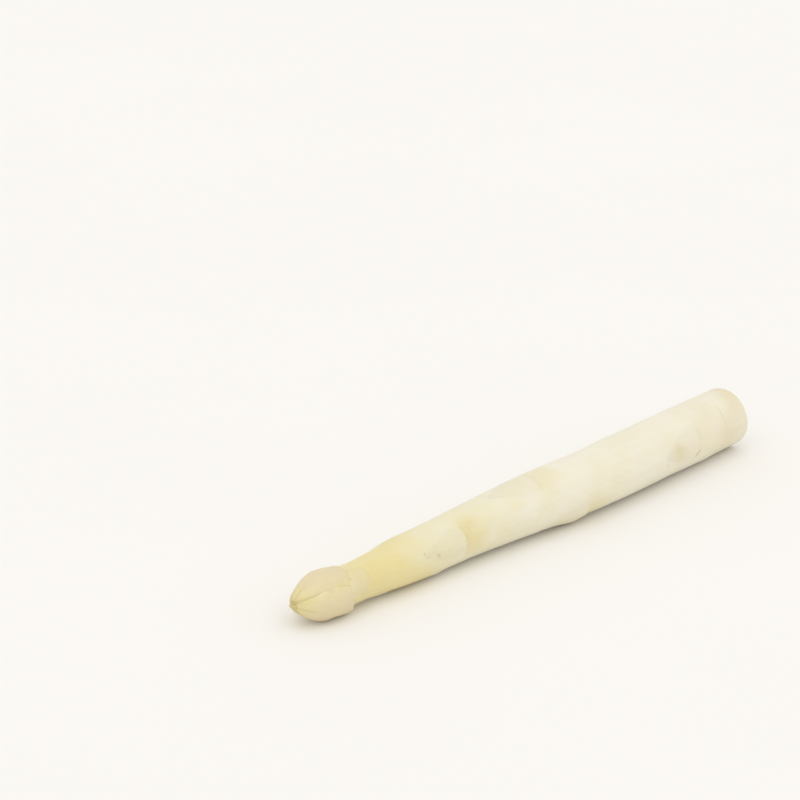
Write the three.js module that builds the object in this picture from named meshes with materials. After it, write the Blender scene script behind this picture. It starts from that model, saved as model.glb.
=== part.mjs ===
// One white asparagus spear, as picked and trimmed, lying on its side.
// Millimetres and degrees. +X runs from the bud to the cut end, +Z is up, and the spear rests on Z = 0.
// A place on the spear is given by a station (the distance from the bud's tip, along X), a bearing
// (the angle round the axis, 0 at the top and 90 at the front, which faces -Y) and a radius.

import * as THREE from "three";

// ---- Driving dimensions ----

const LENGTH = 220;
const HALF_LENGTH = LENGTH / 2;
const SHOULDER = 26; // station where the bud's dome meets the stem
const CORE_TIP = 1.6; // station where the growing point ends, under the scales
const CORE_SHOULDER_RADIUS = 6.7;
const CORE_BELLY = 1.4; // how far the dome swells halfway between its shoulder and its tip
const DOME_POWER = 0.7; // over 0.5 is more pointed than an ellipse
const RIM_ROUNDING = 0.9; // at the cut end
const OVALITY = 0.012; // share of the radius, widest across the front and the back

// Stem radius and axis at stations along the spear.
const RADIUS_STATIONS = [26, 31, 38, 50, 77, 110, 150, 190, 220];
const RADII = [6.7, 6.75, 7.2, 8.1, 8.8, 10.15, 10.85, 10.95, 10.75];
const AXIS_STATIONS = [0, 25, 55, 85, 115, 140, 165, 190, 220];
const AXIS_SIDEWAYS = [2.85, 2.35, 1.8, 1.22, -0.45, -1.85, -1.13, 0.2, 2.07];
const AXIS_HEIGHTS = [8.83, 8.21, 8.68, 9.82, 10.97, 11.23, 11.44, 11.16, 10.63];

const GAP = 0.25; // between a scale's base and the stem
const SCALE_THICKNESS = 0.42; // at a scale's base
const TIP_THINNING = 0.5; // share of the thickness lost towards a scale's tip
const STEM_SCALE_TILT = 0.02; // rise away from the stem, per millimetre of scale
const BUD_SCALE_TILT = 0.125;
const CLOSING_STATION = 3; // nearer the tip than this the bud's scales bend in to meet
const CLOSING_START = 0.4;
const PRESSED_STATION = 10; // nearer the tip than this the bud's scales are pressed together
const PRESSED_SHARE = 0.5;

const BULGE_LENGTH = 5; // of the axillary bud under each stem scale
const BULGE_SPREAD = 26;

// Scales from the cut end to the bud, each about a golden angle (137.5 degrees) round from the one
// before, with two more in the bud where its edges fold over each other.
// base and tip are stations, bearing is the middle of the base, tipBearing the middle of the tip,
// width is half the angle that the scale wraps, and bulge is how far its axillary bud lifts the stem.
const STEM_SCALES = [
  { base: 190, tip: 171, bearing: 80, tipBearing: 84, width: 46, bulge: 0.35 },
  { base: 158, tip: 137, bearing: 288, tipBearing: 283, width: 50, bulge: 0.35 },
  { base: 130, tip: 110, bearing: 139, tipBearing: 135, width: 50, bulge: 0.35 },
  { base: 110, tip: 91, bearing: 3, tipBearing: 7, width: 48, bulge: 0.35 },
  { base: 91, tip: 72, bearing: 225, tipBearing: 221, width: 46, bulge: 0.3 },
  { base: 72, tip: 54, bearing: 70, tipBearing: 72, width: 44, bulge: 0.3 },
  { base: 54, tip: 37, bearing: 305, tipBearing: 309, width: 46, bulge: 0.25 },
  { base: 41, tip: 28, bearing: 172, tipBearing: 174, width: 40, bulge: 0.2 },
  { base: 29.5, tip: 22.6, bearing: 62, tipBearing: 60, width: 44, bulge: 0 },
];
const BUD_SCALES = [
  { base: 27, tip: 8, bearing: 258, tipBearing: 250, width: 58 },
  { base: 22, tip: 0, bearing: 118, tipBearing: 105, width: 61 },
  { base: 20.5, tip: 0.5, bearing: -4, tipBearing: 6, width: 55 },
  { base: 17, tip: 0.8, bearing: 203, tipBearing: 195, width: 59 },
  { base: 13, tip: 4, bearing: 68, tipBearing: 60, width: 50 },
  { base: 11.5, tip: 1.2, bearing: 288, tipBearing: 285, width: 56 },
];

const STEM_SIDES = 26;
const STEM_RINGS = 46;
const SCALE_STEPS = 9; // along a scale
const SCALE_COLUMNS = 6; // across a scale

// ---- Curves along the spear ----

// A smooth function of the station through a list of values.
function along(stations, values) {
  const curve = new THREE.CubicInterpolant(stations, values, 1);
  return (station) => curve.evaluate(station)[0];
}

const bodyRadius = along(RADIUS_STATIONS, RADII);
const axisSideways = along(AXIS_STATIONS, AXIS_SIDEWAYS);
const axisHeight = along(AXIS_STATIONS, AXIS_HEIGHTS);

// The growing point is a pointed dome, and the stem is the curve through the listed radii.
function axialRadius(station) {
  if (station >= SHOULDER) return bodyRadius(station);
  const reach = Math.min((SHOULDER - station) / (SHOULDER - CORE_TIP), 1);
  const swollen = CORE_SHOULDER_RADIUS + CORE_BELLY * Math.sin(Math.PI * reach);
  return swollen * (1 - reach * reach) ** DOME_POWER;
}

function angleBetween(a, b) {
  return Math.abs(THREE.MathUtils.euclideanModulo(a - b + 180, 360) - 180);
}

// The swelling over each axillary bud, a bell shape just above the scale's base.
function bulge(station, bearing) {
  let sum = 0;
  for (const scale of STEM_SCALES) {
    const up = (station - scale.base + BULGE_LENGTH) / BULGE_LENGTH;
    const round = angleBetween(bearing, scale.bearing) / BULGE_SPREAD;
    sum += scale.bulge * Math.exp(-up * up - round * round);
  }
  return sum;
}

// The stem's outside: a slightly oval section, with the swellings on it.
function stemRadius(station, bearing) {
  const oval = 1 - OVALITY * Math.cos(2 * THREE.MathUtils.degToRad(bearing));
  return axialRadius(station) * oval + bulge(station, bearing);
}

// A place on the spear as a point in space.
function pointAt(station, bearing, radius) {
  const angle = THREE.MathUtils.degToRad(bearing);
  return new THREE.Vector3(
    station - HALF_LENGTH,
    axisSideways(station) - radius * Math.sin(angle),
    axisHeight(station) + radius * Math.cos(angle),
  );
}

// ---- Pieces ----

// The stem is turned on a lathe, then each vertex is moved out to the oval section and along the bent axis.
function stemGeometry() {
  const profile = [];
  for (let i = 0; i <= STEM_RINGS; i++) {
    const share = i / STEM_RINGS;
    const station = CORE_TIP + (LENGTH - RIM_ROUNDING - CORE_TIP) * share ** 1.25;
    profile.push(new THREE.Vector2(i === 0 ? 0 : axialRadius(station), station));
  }
  const cutRadius = axialRadius(LENGTH) - RIM_ROUNDING;
  const rimStep = RIM_ROUNDING * Math.SQRT1_2;
  profile.push(new THREE.Vector2(cutRadius + rimStep, LENGTH - RIM_ROUNDING + rimStep));
  profile.push(new THREE.Vector2(cutRadius, LENGTH));
  profile.push(new THREE.Vector2(0, LENGTH));

  const geometry = new THREE.LatheGeometry(profile, STEM_SIDES);
  const position = geometry.attributes.position;
  for (let i = 0; i < position.count; i++) {
    const turned = Math.hypot(position.getX(i), position.getZ(i));
    const bearing = THREE.MathUtils.radToDeg(Math.atan2(position.getX(i), position.getZ(i)));
    const station = position.getY(i);
    const full = axialRadius(station);
    const share = full > 0 ? Math.min(turned / full, 1) : 0;
    const point = pointAt(station, bearing, share * stemRadius(station, bearing));
    position.setXYZ(i, point.x, point.y, point.z);
  }
  return geometry;
}

// How far a stem scale stands off the stem: it hugs it, and rises a little towards its tip.
function stemScaleLift(scale, station) {
  return GAP + STEM_SCALE_TILT * (scale.base - station);
}

// A bud scale rises over the scales above it, and is pressed back towards the axis near the tip.
function budScaleLift(scale, station) {
  const pressed = Math.min(station / PRESSED_STATION, 1);
  return (GAP + BUD_SCALE_TILT * (scale.base - station)) * (PRESSED_SHARE + (1 - PRESSED_SHARE) * pressed);
}

// A stem scale is a long triangle with a rounded base; progress is 0 at the base and 1 at the tip.
function stemScaleWidth(scale, progress) {
  return scale.width * (0.08 + 0.92 * (1 - progress) ** 0.7) * (0.82 + 0.18 * Math.min(progress * 5, 1));
}

// A bud scale keeps most of its angle up to the tip, because the bud narrows under it.
function budScaleWidth(scale, progress) {
  const rounded = scale.tip < CLOSING_STATION ? 1 : (1 - progress ** 4) * 0.9 + 0.1;
  return scale.width * (0.85 + 0.15 * Math.min(progress * 4, 1)) * (1 - 0.32 * progress ** 2) * rounded;
}

// The share of its radius that is left where the bud's scales bend in to meet.
function closing(station) {
  return Math.sqrt(Math.min((station + CLOSING_START) / (CLOSING_STATION + CLOSING_START), 1));
}

// A scale is a thin box bent round the stem: its length runs from base to tip, its width round the
// stem, and its depth outwards.
function scaleGeometry(scale, lift, halfWidth, bendsIn) {
  const geometry = new THREE.BoxGeometry(1, 2, 1, SCALE_STEPS, SCALE_COLUMNS, 1);
  const position = geometry.attributes.position;
  for (let i = 0; i < position.count; i++) {
    const progress = position.getX(i) + 0.5;
    const across = position.getY(i);
    const outwards = position.getZ(i) + 0.5;
    const station = scale.base + (scale.tip - scale.base) * progress;
    const middle = scale.bearing + (scale.tipBearing - scale.bearing) * progress;
    const bearing = middle + across * halfWidth(scale, progress);
    const thickness = SCALE_THICKNESS * (1 - TIP_THINNING * progress);
    const seat = stemRadius(station, bearing) + lift(scale, station);
    const drawnIn = bendsIn ? closing(station) : 1;
    const point = pointAt(station, bearing, (seat + outwards * thickness) * drawnIn);
    position.setXYZ(i, point.x, point.y, point.z);
  }
  return geometry;
}

// ---- Materials ----

function plantMaterial(colour, roughness) {
  return new THREE.MeshStandardMaterial({ color: colour, roughness: roughness, metalness: 0 });
}

const stemFlesh = plantMaterial(0xece2c4, 0.5);
const stemScaleSkin = plantMaterial(0xf0e9d2, 0.55);
const budScaleSkin = plantMaterial(0xebdfba, 0.5);

// ---- The spear ----

const group = new THREE.Group();

function addPiece(name, geometry, material) {
  const mesh = new THREE.Mesh(geometry, material);
  mesh.name = name;
  group.add(mesh);
}

addPiece("stem", stemGeometry(), stemFlesh);
STEM_SCALES.forEach((scale, index) => {
  const geometry = scaleGeometry(scale, stemScaleLift, stemScaleWidth, false);
  addPiece("stem_scale_" + (index + 1), geometry, stemScaleSkin);
});
BUD_SCALES.forEach((scale, index) => {
  const geometry = scaleGeometry(scale, budScaleLift, budScaleWidth, true);
  addPiece("bud_scale_" + (index + 1), geometry, budScaleSkin);
});

export default group;
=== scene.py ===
"""One white asparagus spear, as picked and trimmed, lying on a pale surface.

Lengths are in metres. +X runs from the bud to the cut end, +Z is up, and the spear rests on Z = 0.
A place on the spear is a station (the distance from the bud's tip along X), a bearing (the angle
round the axis in radians, 0 at the top and a quarter turn at the front, which faces -Y) and a radius.
"""

import math

import bpy
import numpy as np
from mathutils import Matrix, Vector


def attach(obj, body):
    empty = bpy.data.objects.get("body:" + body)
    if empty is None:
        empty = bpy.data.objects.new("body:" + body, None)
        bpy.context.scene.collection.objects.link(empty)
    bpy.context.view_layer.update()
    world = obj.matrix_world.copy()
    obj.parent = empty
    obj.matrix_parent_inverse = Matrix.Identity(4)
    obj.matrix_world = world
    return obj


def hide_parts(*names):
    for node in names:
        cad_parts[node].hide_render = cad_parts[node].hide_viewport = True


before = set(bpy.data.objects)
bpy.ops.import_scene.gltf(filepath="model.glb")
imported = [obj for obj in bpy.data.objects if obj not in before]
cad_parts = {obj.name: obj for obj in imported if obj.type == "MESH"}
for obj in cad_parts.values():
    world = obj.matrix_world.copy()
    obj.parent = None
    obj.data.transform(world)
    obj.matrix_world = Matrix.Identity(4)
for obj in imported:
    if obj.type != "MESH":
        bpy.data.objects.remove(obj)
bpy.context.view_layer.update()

MM = 0.001
TURN = 2 * math.pi


def lengths(*millimetres):
    """Lengths listed in millimetres, as metres."""
    return MM * np.array(millimetres, float)


# ---- Driving dimensions ----

LENGTH = 220 * MM
HALF_LENGTH = LENGTH / 2
SHOULDER = 26 * MM  # station where the bud's dome meets the stem
CORE_TIP = 1.6 * MM  # station where the dome of the growing point ends, before it is swollen
CORE_SHOULDER_RADIUS = 6.7 * MM
CORE_BELLY = 1.4 * MM  # how far the dome swells halfway between its shoulder and its tip
DOME_POWER = 0.7  # over 0.5 is more pointed than an ellipse
RIM_ROUNDING = 0.9 * MM  # at the cut end
OVALITY = 0.012  # share of the radius, widest across the front and the back

# The stem's radius and the axis, at stations along the spear.
RADIUS_STATIONS = lengths(26, 31, 38, 50, 77, 110, 150, 190, 220)
RADII = lengths(6.7, 6.75, 7.2, 8.1, 8.8, 10.15, 10.85, 10.95, 10.75)
AXIS_STATIONS = lengths(0, 25, 55, 85, 115, 140, 165, 190, 220)
AXIS_SIDEWAYS = lengths(2.85, 2.35, 1.8, 1.22, -0.45, -1.85, -1.13, 0.2, 2.07)
AXIS_HEIGHTS = lengths(8.83, 8.21, 8.68, 9.82, 10.97, 11.23, 11.44, 11.16, 10.63)

BULGE_LENGTH = 5 * MM  # of the axillary bud under each stem scale
BULGE_SPREAD = math.radians(26)
PATCH_SPREAD = math.radians(42)  # of the straw patch under each node

# Scale leaves, from the cut end to the inside of the bud. Base and tip stations are in millimetres,
# and so is bulge, the height of the axillary bud under a stem scale. The bearing of the base's middle,
# the bearing of the tip and half the angle that the scale wraps are in degrees. Patch is how strong
# the straw patch under the base is. A scale is as thick as `middle` at its middle, in millimetres.
STEM_SCALES = [
    dict(base=190, tip=171, bearing=80, tip_bearing=84, width=46, bulge=0.35, patch=0.25, middle=0.26),
    dict(base=158, tip=137, bearing=288, tip_bearing=283, width=50, bulge=0.35, patch=0.5, middle=0.26),
    dict(base=130, tip=110, bearing=139, tip_bearing=135, width=50, bulge=0.35, patch=0.5, middle=0.5),
    dict(base=110, tip=91, bearing=3, tip_bearing=7, width=48, bulge=0.35, patch=0.5, middle=0.26),
    dict(base=91, tip=72, bearing=225, tip_bearing=221, width=46, bulge=0.3, patch=0.5, middle=0.26),
    dict(base=72, tip=54, bearing=70, tip_bearing=72, width=44, bulge=0.3, patch=0.85, middle=0.26),
    dict(base=54, tip=37, bearing=305, tip_bearing=309, width=46, bulge=0.25, patch=0.5, middle=0.26),
    dict(base=41, tip=28, bearing=172, tip_bearing=174, width=40, bulge=0.2, patch=0.5, middle=0.28),
    dict(base=28.8, tip=20.4, bearing=62, tip_bearing=60, width=52, bulge=0, patch=0.4, middle=0.3),
]
BUD_SCALES = [
    dict(base=27, tip=8, bearing=258, tip_bearing=250, width=60, middle=0.8),
    dict(base=21.6, tip=0, bearing=118, tip_bearing=105, width=62, middle=1.1),
    dict(base=20.5, tip=0.2, bearing=-2, tip_bearing=8, width=64, middle=0.85),
    dict(base=17, tip=0.4, bearing=203, tip_bearing=195, width=66, middle=0.7),
    dict(base=13, tip=0.15, bearing=68, tip_bearing=60, width=58, middle=0.5),
    dict(base=18, tip=0.3, bearing=288, tip_bearing=285, width=64, middle=0.5),
]
NECK_SCALE = 8
CAP = 1

# How a scale's base is cut, in millimetres: its arch, its slant, how ragged it is and how far it
# stands off what lies under it.
STEM_SCALE_BASE = dict(arch=0.9, slant=0.4, ragged=0.1, flare=0.0)
BUD_SCALE_BASE = dict(arch=1.5, slant=0.0, ragged=0.12, flare=0.1)
CAP_BASE = dict(arch=0.3, slant=1.6, ragged=0.38, flare=0.8)

# The growing point is swollen by this much to fill the bud, from nothing at the foot to all of it at
# the top.
BUD_FILL = 1.35 * MM
BUD_FILL_TOP = 3 * MM
BUD_FILL_FOOT = 21 * MM

# The bud is fuller low on its front.
BELLY_STATION = 8 * MM
BELLY_BEARING = math.radians(142)
BELLY_LENGTH = 5.5 * MM
BELLY_SPREAD = math.radians(36)
BELLY_HEIGHT = 0.7 * MM

CLOSING_STATION = 3 * MM  # nearer the tip than this the bud closes in an arc
CLOSING_START = 0.03 * MM
CLOSED_TIP = 3  # a bud scale whose tip is nearer than this, in millimetres, reaches the bud's point
CORE_START = 0.25 * MM  # where the skin of the growing point starts
SUNK = 0.1 * MM  # how far the inside of a scale lies in what is under it
RIM_PROUD = 0.035  # millimetres that a stem scale's fine rim stands up
EDGE_SUNK = 0.015  # millimetres that a stem scale's margin lies in the skin
BUD_EDGE = 0.11  # millimetres of thickness at a bud scale's margin
KEEL_HEIGHT = 0.05  # millimetres, of the fold along a bud scale's middle
VEIN_HEIGHT = 0.014  # millimetres

# Unevenness of the skin and of the cut face.
WAVE_COUNT = 14
BROAD_WAVES = 0.07 * MM
MIDDLING_WAVES = 0.03 * MM
RIB_HEIGHT = 0.02 * MM
RIB_COUNTS = (21, 34)
FACE_DISH = 0.35 * MM
FACE_WAVES = 0.05 * MM

# Painted shade: the dark line beside a scale's edge, where that edge's shadow would fall. Its width at
# the sides and at the base, and how strong it is at the base. Along the sides it fades out near the tip
# and towards the base.
EDGE_SHADE_SIDE = 0.25 * MM
EDGE_SHADE_FOOT = 0.3 * MM
EDGE_SHADE_FOOT_STRENGTH = 0.3
EDGE_SHADE_TIP_FADE = 2.5 * MM
EDGE_SHADE_BASE_FADE = (8 * MM, 14 * MM)

# Small marks: a station in millimetres, a bearing in degrees, half lengths along and round the stem
# in millimetres, the angle by which the mark leans in degrees, and a cut's depth in millimetres.
NICK = dict(station=189.3, bearing=101, along=1.7, round=0.34, lean=-38, depth=0.3)
KNIFE_MARK = dict(station=206.5, bearing=48, along=0.16, round=4.2, lean=4, depth=0.1)
GREEN_MARKS = [
    dict(station=178.5, bearing=80, along=3.4, round=2.3, lean=25),
    dict(station=7.6, bearing=43, along=0.8, round=0.5, lean=0),
]
RUST_MARKS = [
    dict(station=59.8, bearing=80, along=0.7, round=0.5, lean=30),
    dict(station=21.9, bearing=47, along=0.5, round=0.25, lean=10),
    dict(station=146, bearing=335, along=0.6, round=0.5, lean=0),
    dict(station=102, bearing=265, along=0.5, round=0.7, lean=15),
]
GREEN_STRENGTH = 0.34
KNIFE_GREEN = 0.5
RUST_STRENGTH = 0.45
NICK_DARKNESS = 0.8

# Small knobs on the skin, as high as `depth` says, which is negative because they stand proud.
KNOBS = [
    dict(station=125.5, bearing=150, along=3.0, round=2.4, lean=0, depth=-0.3),
    dict(station=62, bearing=149, along=1.6, round=1.8, lean=15, depth=-0.28),
    dict(station=199, bearing=146, along=2.6, round=2.2, lean=0, depth=-0.22),
    dict(station=92.5, bearing=228, along=2.4, round=2.4, lean=0, depth=-0.25),
]

STEM_ROWS = 440
STEM_COLUMNS = 192
RIM_ROWS = 6
FACE_ROWS = 40
SCALE_ROWS = 110
SCALE_COLUMNS = 144
GRAIN_LENGTH = 20 * MM  # one unit of the grain map along a scale
GRAIN_STEP = 3.0  # between the grain maps of two scales, so that their veins differ
STEM_SCALE_SEED = 60
BUD_SCALE_SEED = 80
PATCH_SEED = 40

# ---- Camera ----

CAMERA_AZIMUTH = math.radians(-46)
CAMERA_ELEVATION = math.radians(22)
CAMERA_DISTANCE = 1.2
CAMERA_LENS = 158.0  # millimetres, as is the sensor's width
SENSOR = 36.0
AIM_HEIGHT = 10 * MM
AIM_LEFT = 43.0 * MM
AIM_UP = 36.5 * MM


def add_camera():
    """The camera looks down on the spear from in front of its bud, past a point up and left of it."""
    back = Vector((
        math.sin(CAMERA_AZIMUTH) * math.cos(CAMERA_ELEVATION),
        -math.cos(CAMERA_AZIMUTH) * math.cos(CAMERA_ELEVATION),
        math.sin(CAMERA_ELEVATION),
    ))
    right = Vector((math.cos(CAMERA_AZIMUTH), math.sin(CAMERA_AZIMUTH), 0.0))
    up = back.cross(right)
    centre = Vector((0.0, 0.0, AIM_HEIGHT))
    camera = bpy.data.objects.new("camera", bpy.data.cameras.new("camera"))
    camera.data.lens = CAMERA_LENS
    camera.data.sensor_width = SENSOR
    place = centre + back * CAMERA_DISTANCE - right * AIM_LEFT + up * AIM_UP
    turned = Matrix((right, up, back)).transposed().to_4x4()
    camera.matrix_world = Matrix.Translation(place) @ turned
    bpy.context.collection.objects.link(camera)
    bpy.context.scene.camera = camera


add_camera()

# ---- Curves and fields along the spear ----


def smooth_curve(stations, values):
    """A smooth function through listed values: on each stretch, the cubic whose end slopes are the
    mean slopes of the points on either side (a Hermite spline)."""
    slopes = np.gradient(values, stations)

    def curve(station):
        i = np.clip(np.searchsorted(stations, station, side="right") - 1, 0, len(stations) - 2)
        span = stations[i + 1] - stations[i]
        t = np.clip((station - stations[i]) / span, 0, 1)
        ends = values[i] * (1 + 2 * t) * (1 - t) ** 2 + values[i + 1] * t * t * (3 - 2 * t)
        return ends + span * (slopes[i] * t * (1 - t) ** 2 - slopes[i + 1] * t * t * (1 - t))

    return curve


body_radius = smooth_curve(RADIUS_STATIONS, RADII)
axis_sideways = smooth_curve(AXIS_STATIONS, AXIS_SIDEWAYS)
axis_height = smooth_curve(AXIS_STATIONS, AXIS_HEIGHTS)


def smooth_step(low, high, x):
    """0 below low, 1 above high, and a smooth S between."""
    t = np.clip((x - low) / (high - low), 0, 1)
    return t * t * (3 - 2 * t)


def turned_from(bearing, middle):
    """The signed angle from middle to bearing, within half a turn."""
    return (bearing - middle + math.pi) % TURN - math.pi


def waves(station, bearing, seed, turns, wavelength):
    """A smooth random field of about unit size: the sum of cosine waves, each with a whole number of
    turns round the stem up to `turns`, a random wavelength near the given one and a random phase."""
    draw = np.random.default_rng(seed)
    field = np.zeros(np.broadcast(station, bearing).shape)
    for _ in range(WAVE_COUNT):
        round_count = draw.integers(-turns, turns + 1)
        rate = TURN / (wavelength * draw.uniform(0.7, 1.8))
        field += np.cos(round_count * bearing + rate * station + draw.uniform(0, TURN))
    return field / math.sqrt(WAVE_COUNT)


def axial_radius(station):
    """A swollen, pointed dome above the shoulder, and the curve through the listed radii below it."""
    reach = np.clip((SHOULDER - station) / (SHOULDER - CORE_TIP), 0, 1)
    swollen = CORE_SHOULDER_RADIUS + CORE_BELLY * np.sin(math.pi * reach)
    dome = swollen * (1 - reach * reach) ** DOME_POWER
    return np.where(station < SHOULDER, dome, body_radius(np.maximum(station, SHOULDER)))


def mark_shape(mark, station, bearing):
    """A bell shape over a small mark, 1 at its middle, longer one way and leaning."""
    lean = math.radians(mark["lean"])
    up = (station - mark["station"] * MM) / MM
    side = turned_from(bearing, math.radians(mark["bearing"])) * body_radius(station) / MM
    along = (up * math.cos(lean) + side * math.sin(lean)) / mark["along"]
    across = (side * math.cos(lean) - up * math.sin(lean)) / mark["round"]
    return np.exp(-(along**2) - across**2)


def bulges(station, bearing):
    """The swelling over each axillary bud: a bell shape just above its scale's base."""
    total = np.zeros(np.broadcast(station, bearing).shape)
    for scale in STEM_SCALES:
        up = (station - scale["base"] * MM + BULGE_LENGTH) / BULGE_LENGTH
        around = turned_from(bearing, math.radians(scale["bearing"])) / BULGE_SPREAD
        total += scale["bulge"] * MM * np.exp(-up * up - around * around)
    return total


def stem_radius(station, bearing):
    """The stem's outside: a slightly oval section with the swellings, broad waves, faint ribs that
    drift round the stem, the two small cuts and the knobs."""
    oval = 1 - OVALITY * np.cos(2 * bearing)
    on_stem = smooth_step(CORE_TIP, SHOULDER, station)
    broad = BROAD_WAVES * waves(station, bearing, seed=3, turns=3, wavelength=45 * MM)
    middling = MIDDLING_WAVES * waves(station, bearing, seed=5, turns=9, wavelength=16 * MM)
    drift = 0.35 * waves(station, bearing, seed=7, turns=2, wavelength=70 * MM)
    coarse_ribs = np.cos(RIB_COUNTS[0] * bearing + 2 * drift)
    fine_ribs = 0.7 * np.cos(RIB_COUNTS[1] * bearing + 3 * drift + 1)
    uneven = broad + middling + RIB_HEIGHT * (coarse_ribs + fine_ribs)
    marks = [NICK, KNIFE_MARK, *KNOBS]
    sunk = sum(mark["depth"] * MM * mark_shape(mark, station, bearing) for mark in marks)
    return axial_radius(station) * oval + bulges(station, bearing) + on_stem * uneven - sunk


def scale_length(scale):
    """How long a scale is from its base to its tip."""
    return (scale["base"] - scale["tip"]) * MM


def scale_progress(scale, station):
    """How far a station is from a scale's base, 0, to its tip, 1."""
    return (scale["base"] * MM - station) / scale_length(scale)


def scale_middle(scale, progress):
    """The bearing of a scale's middle line, which turns a little from base to tip."""
    turn = math.radians(scale["tip_bearing"] - scale["bearing"])
    return math.radians(scale["bearing"]) + turn * progress


def stem_scale_width(scale, progress):
    """Half the angle a stem scale wraps: a long triangle with rounded shoulders."""
    left = np.clip(1 - progress, 0, 1)
    shoulders = 0.84 + 0.16 * np.clip(progress * 5, 0, 1)
    return math.radians(scale["width"]) * (0.05 + 0.95 * left**0.72) * shoulders


def neck_scale_width(scale, progress):
    """Half the angle the neck scale wraps: short and broad, with a blunt end."""
    end = 1 - 0.45 * np.clip(progress, 0, 1) ** 3
    return math.radians(scale["width"]) * end * (0.86 + 0.14 * np.clip(progress * 5, 0, 1))


def bud_scale_width(scale, progress):
    """Half the angle a bud scale wraps: it keeps most of it up to a short point, because the bud
    narrows under it."""
    reach = np.clip(progress, 0, 1)
    if scale["tip"] < CLOSED_TIP:
        point = 1 - 0.55 * smooth_step(0.88, 1.0, reach)
    else:
        point = 1 - 0.9 * reach**3.4
    shoulders = 0.88 + 0.12 * np.clip(reach * 4, 0, 1)
    return math.radians(scale["width"]) * shoulders * (1 - 0.3 * reach**2) * point


def stem_scale_thickness(scale, progress, across):
    """Thickest just above its base and along its middle. Its margins and tip run out into the skin,
    and only a fine rim stands proud of it."""
    along = 0.8 + 0.2 * smooth_step(0, 0.12, progress)
    along = along * (1 - 0.75 * smooth_step(0.15, 0.9, progress))
    lens = (1 - across**2) ** 1.4
    near_rim = np.exp(-(((np.abs(across) - 0.93) / 0.04) ** 2))
    rim = RIM_PROUD * near_rim * smooth_step(0.1, 0.4, progress)
    return MM * (scale["middle"] * along * lens + rim - EDGE_SUNK)


def bud_scale_thickness(scale, progress, across):
    """Fleshy above its base, thinner towards its point, and thin as paper at its margins."""
    along = 0.45 + 0.55 * smooth_step(0, 0.25, progress)
    along = along * (1 - 0.5 * smooth_step(0.4, 1, progress))
    lens = 1 - np.abs(across) ** 2.8
    keel = KEEL_HEIGHT * np.exp(-((across / 0.06) ** 2)) * smooth_step(0.35, 0.8, progress)
    veins = VEIN_HEIGHT * np.cos(13 * math.pi * across) * (1 - across**2)
    return MM * (scale["middle"] * along * lens + keel + veins + BUD_EDGE)


def bud_layers():
    """The bud's pieces from the innermost out, each with its width and thickness functions. The neck
    scale is tucked in under the cap."""
    layers = [(scale, bud_scale_width, bud_scale_thickness) for scale in BUD_SCALES[::-1]]
    layers.insert(0, (STEM_SCALES[NECK_SCALE], neck_scale_width, stem_scale_thickness))
    return layers


def core_radius(station, bearing):
    """The stem, with its growing point swollen to fill the inside of the bud, most of all in a bell
    shape low on its front."""
    fill = BUD_FILL * smooth_step(BUD_FILL_FOOT, BUD_FILL_TOP, station)
    up = (station - BELLY_STATION) / BELLY_LENGTH
    around = turned_from(bearing, BELLY_BEARING) / BELLY_SPREAD
    return stem_radius(station, bearing) + fill + BELLY_HEIGHT * np.exp(-up * up - around * around)


def drawn_in(station):
    """The share of its radius that the bud keeps near its tip, where it closes in an arc."""
    close = np.clip((station + CLOSING_START) / (CLOSING_STATION + CLOSING_START), 0, 1)
    return np.sqrt(close)


def bud_surface(station, bearing, layer_count):
    """What lies under a bud scale: the core, and on it the thickness of each scale further in, which
    fades out towards that scale's edges."""
    radius = core_radius(station, bearing)
    for scale, width_of, thickness_of in bud_layers()[:layer_count]:
        progress = scale_progress(scale, station)
        across = turned_from(bearing, scale_middle(scale, progress)) / width_of(scale, progress)
        inside = smooth_step(1.05, 0.75, np.abs(across)) * smooth_step(-0.02, 0.3, progress)
        inside = inside * smooth_step(1.1, 0.8, progress)
        radius = radius + inside * thickness_of(scale, progress, np.clip(across, -1, 1))
    return radius


def base_cut(base, across):
    """How far towards the cut end a scale's base reaches across its width: arched and slanted."""
    return MM * (base["arch"] * (1 - across**2) + base["slant"] * across)


def painted_edge_shade(station, bearing, covering):
    """How close a place is to the edge of a scale that lies over it: a bell shape across each side,
    1 right beside it, and a weaker one across the base. It sets how much painted shade darkens the
    colour there, as if in the shadow of that overlying edge."""
    total = np.zeros(np.broadcast(station, bearing).shape)
    for scale, width_of, _ in covering:
        progress = scale_progress(scale, station)
        width = width_of(scale, progress)
        across = turned_from(bearing, scale_middle(scale, progress)) / width
        beside = (np.abs(across) - 1) * width * axial_radius(station) * drawn_in(station)
        side = np.exp(-((beside / EDGE_SHADE_SIDE) ** 2)) * smooth_step(-0.02, 0.1, progress)
        side = side * (1 - 0.8 * smooth_step(*EDGE_SHADE_BASE_FADE, station))
        side = side * smooth_step(0, EDGE_SHADE_TIP_FADE, station)
        base = CAP_BASE if scale is BUD_SCALES[CAP] else BUD_SCALE_BASE
        below = station - scale["base"] * MM - base_cut(base, np.clip(across, -1, 1))
        foot = np.exp(-((below / EDGE_SHADE_FOOT) ** 2)) * smooth_step(1.05, 0.95, np.abs(across))
        total += side + EDGE_SHADE_FOOT_STRENGTH * foot
    return np.clip(total, 0, 1)


def place(station, bearing, radius):
    """Points in space for arrays of station, bearing and radius."""
    return np.stack([
        station - HALF_LENGTH + 0 * radius,
        axis_sideways(station) - radius * np.sin(bearing),
        axis_height(station) + radius * np.cos(bearing),
    ], axis=-1)


# ---- Meshes ----


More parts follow.
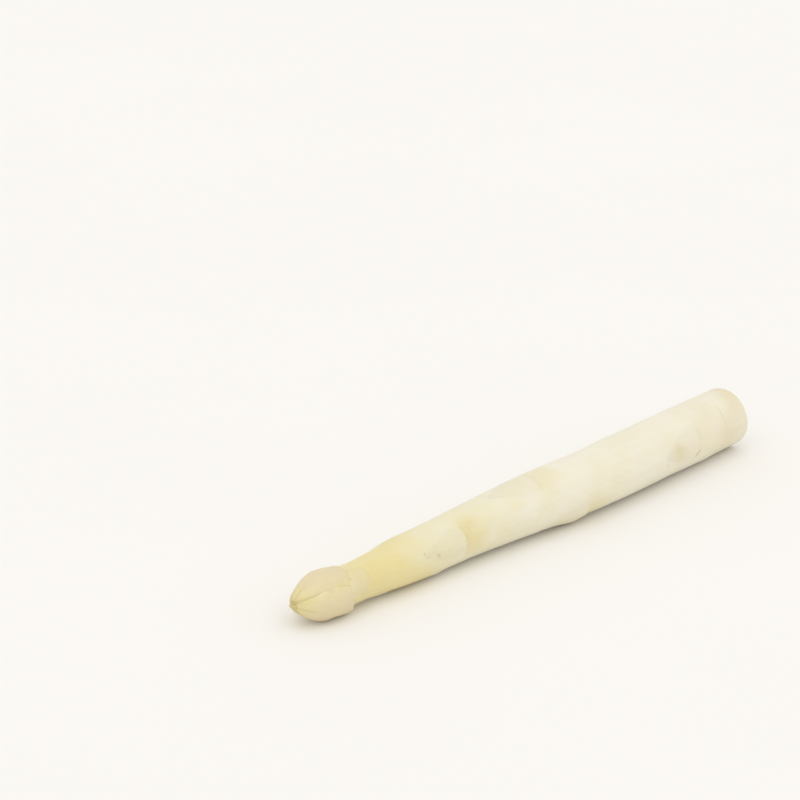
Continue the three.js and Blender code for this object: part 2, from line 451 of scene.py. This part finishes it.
def closed_mesh(name, points, start, end):
    """A closed surface from a grid of points: each row is a loop round the piece, the rows follow its
    length, and a fan to one point closes each end. Faces are turned to point outwards."""
    rows, columns = points.shape[:2]
    vertices = np.concatenate([points.reshape(-1, 3), [start], [end]])
    index = np.arange(rows * columns).reshape(rows, columns)
    beside = np.roll(index, -1, axis=1)
    quads = np.stack([index[:-1], beside[:-1], beside[1:], index[1:]], axis=-1).reshape(-1, 4)
    first = np.full(columns, rows * columns)
    start_fan = np.stack([first, beside[0], index[0]], axis=-1)
    end_fan = np.stack([first + 1, index[-1], beside[-1]], axis=-1)
    triangles = np.concatenate([quads[:, [0, 1, 2]], quads[:, [0, 2, 3]], start_fan, end_fan])
    a, b, c = (vertices[triangles[:, i]] for i in range(3))
    if np.einsum("ij,ij->i", a, np.cross(b, c)).sum() < 0:
        quads, start_fan, end_fan = quads[:, ::-1], start_fan[:, ::-1], end_fan[:, ::-1]
    mesh = bpy.data.meshes.new(name)
    mesh.from_pydata(vertices.tolist(), [], quads.tolist() + start_fan.tolist() + end_fan.tolist())
    mesh.shade_smooth()
    return mesh


def add_values(mesh, name, values):
    """A named number on each vertex, for the material to read."""
    layer = mesh.attributes.new(name, "FLOAT", "POINT")
    layer.data.foreach_set("value", np.ascontiguousarray(values, dtype=np.float32).ravel())


def add_grain(mesh, across, along):
    """A UV map from two numbers on each vertex: across the piece and along it."""
    layer = mesh.uv_layers.new(name="grain")
    corner = np.empty(len(mesh.loops), dtype=np.int32)
    mesh.loops.foreach_get("vertex_index", corner)
    pairs = np.stack([across[corner], along[corner]], axis=-1)
    layer.data.foreach_set("uv", pairs.astype(np.float32).ravel())


def add_piece(mesh, node, slot, *materials):
    """Makes the mesh a piece that stands for a CAD node and rides on the only body."""
    piece = bpy.data.objects.new(mesh.name, mesh)
    bpy.context.collection.objects.link(piece)
    for material in materials:
        mesh.materials.append(material)
    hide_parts(node)
    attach(piece, "root")


# ---- Materials ----


class Shader:
    """A Principled material and short ways to add and join its nodes."""

    def __init__(self, name):
        self.material = bpy.data.materials.new(name)
        self.material.use_nodes = True
        self.nodes = self.material.node_tree.nodes
        self.links = self.material.node_tree.links
        self.principled = self.nodes["Principled BSDF"]

    def add(self, kind, **settings):
        """Adds a node of a kind, with its settings."""
        node = self.nodes.new(kind)
        for key, value in settings.items():
            setattr(node, key, value)
        return node

    def join(self, value, socket):
        """Links an output to a socket, or sets the socket if the value is a plain number or colour."""
        if isinstance(value, bpy.types.NodeSocket):
            self.links.new(value, socket)
        else:
            socket.default_value = value

    def number(self, name):
        """Reads a named number off the mesh."""
        return self.add("ShaderNodeAttribute", attribute_name=name).outputs["Fac"]

    def stretched(self, vector, scale):
        """Coordinates multiplied by a scale for each direction."""
        mapping = self.add("ShaderNodeMapping")
        mapping.inputs["Scale"].default_value = scale
        self.links.new(vector, mapping.inputs["Vector"])
        return mapping.outputs["Vector"]

    def object_space(self, scale):
        """The piece's own coordinates in metres, scaled."""
        return self.stretched(self.add("ShaderNodeTexCoord").outputs["Object"], scale)

    def grain_space(self, scale):
        """The coordinates of the piece's grain map, scaled."""
        return self.stretched(self.add("ShaderNodeUVMap", uv_map="grain").outputs["UV"], scale)

    def noise(self, vector, scale, detail):
        """Cloudy noise of 0 to 1."""
        node = self.add("ShaderNodeTexNoise")
        self.links.new(vector, node.inputs["Vector"])
        node.inputs["Scale"].default_value = scale
        node.inputs["Detail"].default_value = detail
        node.inputs["Roughness"].default_value = 0.5
        return node.outputs["Fac"]

    def spots(self, vector, scale):
        """The distance to the nearest of many scattered points."""
        node = self.add("ShaderNodeTexVoronoi")
        self.links.new(vector, node.inputs["Vector"])
        node.inputs["Scale"].default_value = scale
        return node.outputs["Distance"]

    def math(self, operation, a, b):
        """A sum, difference or product of two values."""
        node = self.add("ShaderNodeMath", operation=operation)
        self.join(a, node.inputs[0])
        self.join(b, node.inputs[1])
        return node.outputs[0]

    def remap(self, value, low, high, to_low=0.0, to_high=1.0):
        """A smooth S from one pair of limits to another."""
        node = self.add("ShaderNodeMapRange", interpolation_type="SMOOTHSTEP")
        self.links.new(value, node.inputs["Value"])
        node.inputs["From Min"].default_value = low
        node.inputs["From Max"].default_value = high
        node.inputs["To Min"].default_value = to_low
        node.inputs["To Max"].default_value = to_high
        return node.outputs["Result"]

    def blend(self, share, a, b):
        """Colour a, blended towards colour b by a share."""
        node = self.add("ShaderNodeMix", data_type="RGBA", blend_type="MIX")
        self.join(share, node.inputs["Factor"])
        self.join(a, node.inputs["A"])
        self.join(b, node.inputs["B"])
        return node.outputs["Result"]

    def bump(self, height, distance, strength=1.0, normal=None):
        """Fine relief, on top of the normal it is given."""
        node = self.add("ShaderNodeBump")
        self.links.new(height, node.inputs["Height"])
        node.inputs["Distance"].default_value = distance
        node.inputs["Strength"].default_value = strength
        if normal is not None:
            self.links.new(normal, node.inputs["Normal"])
        return node.outputs["Normal"]

    def finish(self, colour, roughness, normal, translucence, depth, coat):
        """Sets the surface and gives back the material."""
        surface = self.principled.inputs
        self.join(colour, surface["Base Color"])
        self.join(roughness, surface["Roughness"])
        self.join(normal, surface["Normal"])
        surface["Subsurface Weight"].default_value = translucence
        surface["Subsurface Radius"].default_value = FLESH_RADII
        surface["Subsurface Scale"].default_value = depth
        surface["Coat Weight"].default_value = coat
        surface["Coat Roughness"].default_value = COAT_ROUGHNESS
        surface["Specular IOR Level"].default_value = SPECULAR_LEVEL
        return self.material


def colour(red, green, blue):
    """An sRGB colour of 0 to 255 as linear light, with alpha."""
    share = np.array([red, green, blue]) / 255
    linear = np.where(share <= 0.04045, share / 12.92, ((share + 0.055) / 1.055) ** 2.4)
    return (*linear.tolist(), 1.0)


IVORY = colour(236, 230, 211)
CREAM = colour(231, 224, 191)
BUTTER = colour(229, 215, 157)
STRAW = colour(224, 208, 147)
BEIGE = colour(225, 211, 178)
PETAL = colour(223, 207, 171)
CHALK = colour(238, 235, 223)
GREEN_GOLD = colour(205, 188, 96)
RUST = colour(166, 130, 74)
# The colour of the painted shade beside the edges of overlying scales.
SHADE_OLIVE = colour(176, 158, 90)
PITH = colour(237, 232, 213)
BUNDLE = colour(210, 198, 156)

# How strong a scale's blush, pale margin and golden point are.
STEM_SCALE_LOOK = dict(blush=0.2, margin=0.1, point=0.08)
NECK_SCALE_LOOK = dict(blush=0.4, margin=0.2, point=0.0)
BUD_SCALE_LOOK = dict(blush=0.8, margin=0.6, point=0.68)

# How far red, green and blue light travel in the flesh, as shares of its depth, and the shine of wax.
FLESH_RADII = (1.0, 0.75, 0.42)
FLESH_DEPTH = 1.6 * MM
FLESH_TRANSLUCENCE = 0.25
SCALE_DEPTH = 0.1 * MM
COAT_ROUGHNESS = 0.3
SPECULAR_LEVEL = 0.42

# Streaks are finer round the stem than along X, so that they run with its fibres. The veins of a
# scale are as much finer across it, and the marks of the knife run along Y.
EVENLY = (1.0, 1.0, 1.0)
ACROSS_THE_CUT = (0.0, 1.0, 1.0)
STREAKS = (14.0, 520.0, 520.0)
FINE_STREAKS = (22.0, 1600.0, 1600.0)
KNIFE_STREAKS = (0.0, 260.0, 2200.0)
VEINS = (26.0, 2.2, 1.0)
FINE_VEINS = (70.0, 5.0, 1.0)
MOTTLE_SCALE = 75.0
CLOUD_SCALE = 28.0
# How strongly the painted shade beside overlying scale edges darkens the colour.
EDGE_SHADE_DARKNESS = 0.6
SPECK_STRENGTH = 0.25


def waxy_tone(make, mottle, warm_swing):
    """The colour that skin and scales share: ivory to cream to butter with the warmth field, then
    straw patches and beige ageing, all broken up by the mottling, then painted shade beside the edges
    of overlying scales, and the small marks."""
    cloud = make.noise(make.object_space(EVENLY), scale=CLOUD_SCALE, detail=2.0)
    warm = make.math("ADD", make.number("warmth"), make.remap(mottle, 0.3, 0.7, -warm_swing, warm_swing))
    tone = make.blend(make.remap(warm, 0.0, 0.5), IVORY, CREAM)
    tone = make.blend(make.remap(warm, 0.45, 1.0), tone, BUTTER)
    patch = make.math("MULTIPLY", make.number("patch"), make.remap(mottle, 0.25, 0.65, 0.55, 1.0))
    tone = make.blend(patch, tone, STRAW)
    ageing = make.math("MULTIPLY", make.number("ageing"), make.remap(cloud, 0.3, 0.7, 0.6, 1.0))
    tone = make.blend(ageing, tone, BEIGE)
    tone = make.blend(make.number("green"), tone, GREEN_GOLD)
    # Painted shade: darkens towards olive beside the edge of each scale that lies over this piece.
    tone = make.blend(make.math("MULTIPLY", make.number("edge_shade"), EDGE_SHADE_DARKNESS), tone, SHADE_OLIVE)
    return make.blend(make.number("rust"), tone, RUST)


def skin_material():
    """Waxy ivory skin with faint lengthwise fibres, soft mottling and a few rust-coloured specks."""
    make = Shader("stem_skin")
    everywhere = make.object_space(EVENLY)
    mottle = make.noise(everywhere, scale=MOTTLE_SCALE, detail=4.0)
    streak = make.noise(make.object_space(STREAKS), scale=1.0, detail=3.0)
    fibre = make.noise(make.object_space(FINE_STREAKS), scale=1.0, detail=2.0)
    tone = waxy_tone(make, mottle, 0.1)
    tone = make.blend(make.remap(streak, 0.35, 0.7, 0.0, 0.07), tone, BUTTER)
    tone = make.blend(make.remap(fibre, 0.45, 0.75, 0.0, 0.1), tone, CHALK)

    dots = make.spots(everywhere, scale=150.0)
    chance = make.remap(make.noise(everywhere, scale=47.0, detail=1.0), 0.62, 0.7)
    speck = make.math("MULTIPLY", make.remap(dots, 0.05, 0.11, 1.0, 0.0), chance)
    tone = make.blend(make.math("MULTIPLY", speck, SPECK_STRENGTH), tone, RUST)

    normal = make.bump(streak, 0.08 * MM)
    normal = make.bump(fibre, 0.03 * MM, normal=normal)
    normal = make.bump(mottle, 0.25 * MM, normal=normal)
    dullness = make.remap(streak, 0.3, 0.7, 0.36, 0.48)
    return make.finish(tone, dullness, normal, FLESH_TRANSLUCENCE, FLESH_DEPTH, coat=0.12)


def cut_material():
    """Moist cut flesh: pale pith, a ring of denser flesh under the skin, scattered bundles of vessels
    that show as small darker dots, and faint marks of the knife."""
    make = Shader("cut_flesh")
    everywhere = make.object_space(EVENLY)
    flat = make.object_space(ACROSS_THE_CUT)
    cloud = make.noise(flat, scale=240.0, detail=4.0)
    fine = make.noise(flat, scale=2600.0, detail=2.0)
    knife = make.noise(make.object_space(KNIFE_STREAKS), scale=1.0, detail=2.0)

    dots = make.spots(flat, scale=760.0)
    rim = make.number("rim")
    size = make.remap(rim, 0.0, 0.9, 0.17, 0.27)
    inside = make.math("SUBTRACT", size, dots)
    off_rim = make.remap(rim, 0.86, 0.93, 1.0, 0.0)
    bundle = make.math("MULTIPLY", make.remap(inside, -0.03, 0.05), off_rim)

    tone = make.blend(make.remap(cloud, 0.3, 0.7), PITH, CREAM)
    tone = make.blend(make.remap(rim, 0.5, 1.0, 0.0, 0.6), tone, CREAM)
    broken = make.remap(fine, 0.3, 0.7, 0.35, 0.75)
    tone = make.blend(make.math("MULTIPLY", bundle, broken), tone, BUNDLE)
    in_places = make.remap(cloud, 0.35, 0.65, 0.15, 0.75)
    dried = make.math("MULTIPLY", make.remap(rim, 0.9, 1.0), in_places)
    tone = make.blend(dried, tone, STRAW)

    normal = make.bump(bundle, 0.12 * MM, strength=0.8)
    normal = make.bump(knife, 0.1 * MM, normal=normal)
    normal = make.bump(fine, 0.05 * MM, normal=normal)
    dullness = make.remap(make.noise(everywhere, scale=400.0, detail=2.0), 0.3, 0.7, 0.3, 0.5)
    return make.finish(tone, dullness, normal, FLESH_TRANSLUCENCE, FLESH_DEPTH, coat=0.1)


def scale_material(name):
    """A thin scale leaf in the skin's own colours: a blushed middle, veins that meet at its tip, a
    pale margin, a butter-coloured base edge and a greenish gold point."""
    make = Shader(name)
    everywhere = make.object_space(EVENLY)
    mottle = make.noise(everywhere, scale=MOTTLE_SCALE, detail=4.0)
    vein = make.noise(make.grain_space(VEINS), scale=1.0, detail=2.0)
    fine_vein = make.noise(make.grain_space(FINE_VEINS), scale=1.0, detail=2.0)

    tone = waxy_tone(make, mottle, 0.1)
    tone = make.blend(make.number("blush"), tone, PETAL)
    uneven = make.remap(mottle, 0.3, 0.7, 0.6, 1.0)
    tone = make.blend(make.math("MULTIPLY", make.number("foot"), uneven), tone, BUTTER)
    tone = make.blend(make.remap(vein, 0.45, 0.75, 0.0, 0.22), tone, BUTTER)
    tone = make.blend(make.remap(fine_vein, 0.5, 0.75, 0.0, 0.3), tone, CHALK)
    point = make.math("MULTIPLY", make.number("point"), make.remap(vein, 0.3, 0.65, 0.5, 1.0))
    tone = make.blend(point, tone, GREEN_GOLD)
    tone = make.blend(make.math("MULTIPLY", make.number("margin"), uneven), tone, CHALK)

    normal = make.bump(vein, 0.1 * MM)
    normal = make.bump(fine_vein, 0.04 * MM, normal=normal)
    normal = make.bump(mottle, 0.2 * MM, normal=normal)
    dullness = make.remap(vein, 0.3, 0.7, 0.38, 0.5)
    return make.finish(tone, dullness, normal, 0.0, SCALE_DEPTH, coat=0.12)


# ---- Colour fields ----

WARMTH_EVERYWHERE = 0.09
WARMTH_NEAR_BUD = 0.5
WARMTH_FADING = 0.34
AGEING_START = 186 * MM
AGEING_FULL = 218 * MM
AGEING_MOST = 0.8


def warmth(station, bearing):
    """How yellow the skin is: strong on the bud and under it, fading by mid-length, with slow changes."""
    near_bud = WARMTH_NEAR_BUD * smooth_step(66 * MM, 46 * MM, station)
    fading = WARMTH_FADING * smooth_step(135 * MM, 55 * MM, station)
    slow = 0.09 * waves(station, bearing, seed=11, turns=2, wavelength=38 * MM)
    quicker = 0.06 * waves(station, bearing, seed=12, turns=4, wavelength=14 * MM)
    return np.clip(WARMTH_EVERYWHERE + near_bud + fading + (slow + quicker), 0, 1)


def node_patches(station, bearing):
    """The straw patch under each node: a bell shape just below the base, with a sharp upper side."""
    total = np.zeros(station.shape)
    for i, scale in enumerate(STEM_SCALES):
        below = station - scale["base"] * MM
        around = turned_from(bearing, math.radians(scale["bearing"]))
        ragged = 1.5 * MM * waves(station, bearing, PATCH_SEED + i, turns=6, wavelength=14 * MM)
        reach = smooth_step(-1.0 * MM, 0.8 * MM, below) * smooth_step(13 * MM, 3 * MM, below + ragged)
        total += scale["patch"] * reach * np.exp(-((around / PATCH_SPREAD) ** 4))
    return np.clip(total, 0, 1)


def ageing(station, bearing):
    """The beige of the last stretch before the cut, stronger in places."""
    slow = 0.5 + 0.25 * waves(station, bearing, seed=17, turns=3, wavelength=20 * MM)
    return np.clip(smooth_step(AGEING_START, AGEING_FULL, station) * slow, 0, AGEING_MOST)


def green_marks(station, bearing):
    """Greenish gold blotches, with the mark of the knife a little greener than the skin."""
    total = sum(GREEN_STRENGTH * mark_shape(mark, station, bearing) for mark in GREEN_MARKS)
    return np.clip(total + KNIFE_GREEN * mark_shape(KNIFE_MARK, station, bearing), 0, 1)


def rust_marks(station, bearing):
    """Small rust-coloured marks, and the dark inside of the nick."""
    total = sum(RUST_STRENGTH * mark_shape(mark, station, bearing) for mark in RUST_MARKS)
    return np.clip(total + NICK_DARKNESS * mark_shape(NICK, station, bearing), 0, 1)


def add_fields(mesh, station, bearing, patches, covering):
    """The colour fields that every piece shares, worked out where its vertices are, with the mean of
    the first and the last row at the piece's two end points. Covering lists the bud's layers that lie
    over the piece."""
    fields = dict(warmth=warmth, ageing=ageing, green=green_marks, rust=rust_marks)
    for name, field in fields.items():
        values = field(station, bearing)
        ends = [values[0].mean(), values[-1].mean()]
        add_values(mesh, name, np.append(values.ravel(), ends))
    add_values(mesh, "patch", np.append(patches.ravel(), [0.0, 0.0]))
    # Painted shade beside the edges of the scales that lie over the piece.
    add_values(mesh, "edge_shade", np.append(painted_edge_shade(station, bearing, covering).ravel(), [0.0, 0.0]))


# ---- The stem ----


def stem_stations():
    """Stations of the skin's rows: even, and closer together round the mark of the knife."""
    last = LENGTH - RIM_ROUNDING
    fine = np.linspace(CORE_START, last, 4000)
    from_mark = (fine - KNIFE_MARK["station"] * MM) / (1.2 * MM)
    crowding = 1 + 4 * np.exp(-(from_mark**2))
    reached = np.cumsum(crowding)
    share = (reached - reached[0]) / (reached[-1] - reached[0])
    return np.interp(np.linspace(0, 1, STEM_ROWS), share, fine)[:, None]


def make_stem():
    """The skin follows core_radius along the axis and is drawn in at the bud's tip, then comes a
    quarter-round rim, then rings that shrink over the cut face, which is a little dished and uneven."""
    bearing = np.linspace(0, TURN, STEM_COLUMNS, endpoint=False)[None, :]
    stations = stem_stations()
    skin = place(stations, bearing, core_radius(stations, bearing) * drawn_in(stations))

    end_radius = stem_radius(np.full((1, 1), LENGTH - RIM_ROUNDING), bearing)
    turn = np.linspace(0, math.pi / 2, RIM_ROWS + 1)[1:, None]
    rim_station = LENGTH - RIM_ROUNDING * (1 - np.sin(turn))
    rim = place(rim_station, bearing, end_radius - RIM_ROUNDING * (1 - np.cos(turn)))

    inwards = np.linspace(1, 0, FACE_ROWS + 1)[1:-1, None]
    face_radius = (end_radius - RIM_ROUNDING) * inwards
    ripple = waves(face_radius * 6, bearing, seed=23, turns=4, wavelength=9 * MM)
    uneven = FACE_WAVES * ripple * inwards * (1 - inwards**6)
    face_station = LENGTH - FACE_DISH * (1 - inwards**2) - uneven
    face = place(face_station, bearing, face_radius)
    points = np.concatenate([skin, rim, face])

    tip = skin[0].mean(axis=0)
    mesh = closed_mesh("stem", points, tip, face[-1].mean(axis=0))

    every_station = np.concatenate([stations + 0 * bearing, rim_station + 0 * bearing, face_station])
    every_bearing = np.broadcast_to(bearing, every_station.shape)
    patches = node_patches(every_station, every_bearing)
    add_fields(mesh, every_station, every_bearing, patches, bud_layers()[1:])
    rim_share = np.concatenate([np.ones(stations.shape), np.ones(rim_station.shape), inwards])
    add_values(mesh, "rim", np.append((rim_share + 0 * bearing).ravel(), [1.0, 0.0]))

    add_piece(mesh, "stem", "stem_flesh", skin_material(), cut_material())
    first_face_row = STEM_ROWS + RIM_ROWS - 2
    face_of = np.zeros(len(mesh.polygons), dtype=np.int32)
    face_of[first_face_row * STEM_COLUMNS:] = 1
    face_of[-2 * STEM_COLUMNS:-STEM_COLUMNS] = 0  # the fan at the growing point
    mesh.polygons.foreach_set("material_index", face_of)


# ---- The scale leaves ----

EDGE_WANDER = 0.018  # share of a scale's width by which its edges wander
FOOT_STRENGTH = 0.5  # of the butter colour on a scale's base edge
FOOT_LENGTH = 0.035  # share of the scale's length


def scale_grid():
    """The grid that every scale shares: progress from base to tip, and a loop round its thin section.
    The loop gives the place across the scale, -1 to 1, and the depth, 0 inside and 1 outside."""
    progress = np.linspace(0, 1, SCALE_ROWS)[:, None]
    loop = np.linspace(0, TURN, SCALE_COLUMNS, endpoint=False)[None, :]
    height = np.sin(loop)
    depth = 0.5 + 0.5 * np.sign(height) * np.abs(height) ** 0.5
    return progress, -np.cos(loop) + 0 * progress, depth + 0 * progress


def scale_outline(scale, seed, width_of, base, progress, across):
    """Station and bearing over a scale. Each row lies across the middle line, as wide as `width_of`
    says, with edges that wander. The rows run from base to tip, and those near the base are bent as
    `base` says, with the ragged edge frayed most at one side."""
    edge_waves = waves(progress * scale_length(scale), 0 * across, seed, turns=0, wavelength=6 * MM)
    wander = EDGE_WANDER * edge_waves * np.abs(across) ** 3
    bearing = scale_middle(scale, progress) + across * width_of(scale, progress) * (1 + wander)

    frayed = 0.6 + 0.4 * smooth_step(0.3, 0.9, across)
    base_waves = waves(across * 10 * MM, 0 * across, seed + 1, turns=0, wavelength=2.4 * MM)
    ragged = base["ragged"] * MM * frayed * base_waves
    station = scale["base"] * MM - scale_length(scale) * progress
    station = station + (1 - progress) ** 3 * base_cut(base, across) + ragged * (1 - progress) ** 14
    return station, bearing


def base_lift(progress, across):
    """The share of the flare at each place: all of it on the base's edge, halfway out to one side,
    and none past the first third of the scale."""
    lifted = smooth_step(0.3, 0.0, progress) * smooth_step(-0.1, 0.45, across)
    return lifted * smooth_step(1.0, 0.6, across)


def add_scale_look(mesh, look, progress, across):
    """The colour fields that only scales have: a butter base edge, pale margins, a blushed middle and
    a gold point, which is strongest along its edges and its middle line."""
    foot = FOOT_STRENGTH * np.exp(-((progress / FOOT_LENGTH) ** 2)) + 0 * across
    add_values(mesh, "foot", np.append(foot.ravel(), [FOOT_STRENGTH, 0.0]))
    margin = look["margin"] * np.abs(across) ** 24 * smooth_step(0.1, 0.5, progress)
    add_values(mesh, "margin", np.append(margin.ravel(), [0.0, 0.0]))
    blush = look["blush"] * (1 - across**4) * smooth_step(0.95, 0.6, progress)
    add_values(mesh, "blush", np.append(blush.ravel(), [look["blush"], 0.0]))
    edges = np.abs(across) ** 4 + 1.3 * np.exp(-((across / 0.09) ** 2))
    point = look["point"] * smooth_step(0.6, 0.9, progress) * np.clip(0.12 + edges, 0, 1)
    add_values(mesh, "point", np.append(point.ravel(), [0.0, look["point"]]))


def add_scale_grain(mesh, seed, length, progress, across):
    """The map that the veins follow, from edge to edge and from base to tip, shifted for each scale."""
    middle = GRAIN_STEP * seed
    along = progress * length / GRAIN_LENGTH + seed + 0 * across
    add_grain(
        mesh,
        np.append((across + middle).ravel(), [middle, middle]),
        np.append(along.ravel(), [seed, seed + length / GRAIN_LENGTH]),
    )


def make_scale(name, scale, seed, width_of, thickness_of, under, covering, base, look, slot, material):
    """A scale leaf: a thin closed shell whose inside is sunk a little into what lies under it and
    whose outside is its thickness above that. `under` gives the radius of what lies under it,
    `covering` lists the bud's layers over it, and `look` says how strong its own colours are."""
    progress, across, depth = scale_grid()
    station, bearing = scale_outline(scale, seed, width_of, base, progress, across)
    thickness = thickness_of(scale, progress, across)
    flare = base["flare"] * MM * base_lift(progress, across)
    radius = under(station, bearing) - SUNK + depth * (SUNK + thickness) + flare
    if slot == "bud_scale":
        radius = radius * drawn_in(station)
    points = place(station, bearing, radius)
    mesh = closed_mesh(name, points, points[0].mean(axis=0), points[-1].mean(axis=0))
    add_fields(mesh, station, bearing, np.zeros(station.shape), covering)
    add_scale_look(mesh, look, progress, across)
    add_scale_grain(mesh, seed, scale_length(scale), progress, across)
    add_piece(mesh, name, slot, material)


def make_stem_scales():
    """The scale leaves that lie flat on the stem, from the cut end to the neck."""
    paper = scale_material("stem_scale_paper")
    for i, scale in enumerate(STEM_SCALES):
        at_neck = i == NECK_SCALE
        width_of = neck_scale_width if at_neck else stem_scale_width
        covering = bud_layers()[1:] if at_neck else []
        look = NECK_SCALE_LOOK if at_neck else STEM_SCALE_LOOK
        make_scale(f"stem_scale_{i + 1}", scale, STEM_SCALE_SEED + i, width_of, stem_scale_thickness,
                   stem_radius, covering, STEM_SCALE_BASE, look, "stem_scale", paper)


def make_bud_scales():
    """The overlapping scales of the closed bud, each lying on those further in."""
    flesh = scale_material("bud_scale_flesh")
    for i, scale in enumerate(BUD_SCALES):
        layers_under = len(BUD_SCALES) - i

        def under(station, bearing, count=layers_under):
            return bud_surface(station, bearing, count)

        base = CAP_BASE if i == CAP else BUD_SCALE_BASE
        covering = bud_layers()[layers_under + 1:]
        make_scale(f"bud_scale_{i + 1}", scale, BUD_SCALE_SEED + i, bud_scale_width,
                   bud_scale_thickness, under, covering, base, BUD_SCALE_LOOK, "bud_scale", flesh)


make_stem()
make_stem_scales()
make_bud_scales()

# ---- Floor and light ----

FLOOR_TONES = (colour(243, 241, 238), colour(245, 243, 240))
FLOOR_REACH = 4.0
FLOOR_ROUGHNESS = 0.8
FLOOR_SPECULAR = 0.1
SURROUND_TINT = (1.0, 0.995, 0.98, 1.0)
SURROUND_STRENGTH = 0.88
HIGH_LIGHT_DIRECTION = (-0.35, -0.35, 1.0)
HIGH_LIGHT_WIDTH = 70  # degrees
HIGH_LIGHT_STRENGTH = 0.66
HIGH_LIGHT_TINT = (1.0, 0.99, 0.97)


def make_floor():
    """A plain pale floor with a very faint unevenness in its finish."""
    make = Shader("pale_floor")
    cloud = make.noise(make.object_space(EVENLY), scale=6.0, detail=2.0)
    tone = make.blend(cloud, *FLOOR_TONES)
    make.join(tone, make.principled.inputs["Base Color"])
    make.principled.inputs["Roughness"].default_value = FLOOR_ROUGHNESS
    make.principled.inputs["Specular IOR Level"].default_value = FLOOR_SPECULAR
    mesh = bpy.data.meshes.new("floor")
    corners = [(-1, -1, 0), (1, -1, 0), (1, 1, 0), (-1, 1, 0)]
    mesh.from_pydata([(FLOOR_REACH * x, FLOOR_REACH * y, z) for x, y, z in corners], [], [(0, 1, 2, 3)])
    mesh.materials.append(make.material)
    floor = bpy.data.objects.new("floor", mesh)
    bpy.context.collection.objects.link(floor)


def add_high_light():
    """A distant light as wide as a large softbox, high and a little in front of the spear."""
    data = bpy.data.lights.new("high_light", "SUN")
    data.angle = math.radians(HIGH_LIGHT_WIDTH)
    data.energy = HIGH_LIGHT_STRENGTH
    data.color = HIGH_LIGHT_TINT
    light = bpy.data.objects.new("high_light", data)
    light.rotation_euler = Vector(HIGH_LIGHT_DIRECTION).to_track_quat("Z", "Y").to_euler()
    bpy.context.collection.objects.link(light)


def light_the_scene():
    """A pale surround and one broad soft light."""
    scene = bpy.context.scene
    scene.view_settings.view_transform = "Standard"
    world = bpy.data.worlds.new("surround")
    world.use_nodes = True
    background = world.node_tree.nodes["Background"]
    background.inputs["Color"].default_value = SURROUND_TINT
    background.inputs["Strength"].default_value = SURROUND_STRENGTH
    scene.world = world
    add_high_light()


make_floor()
light_the_scene()
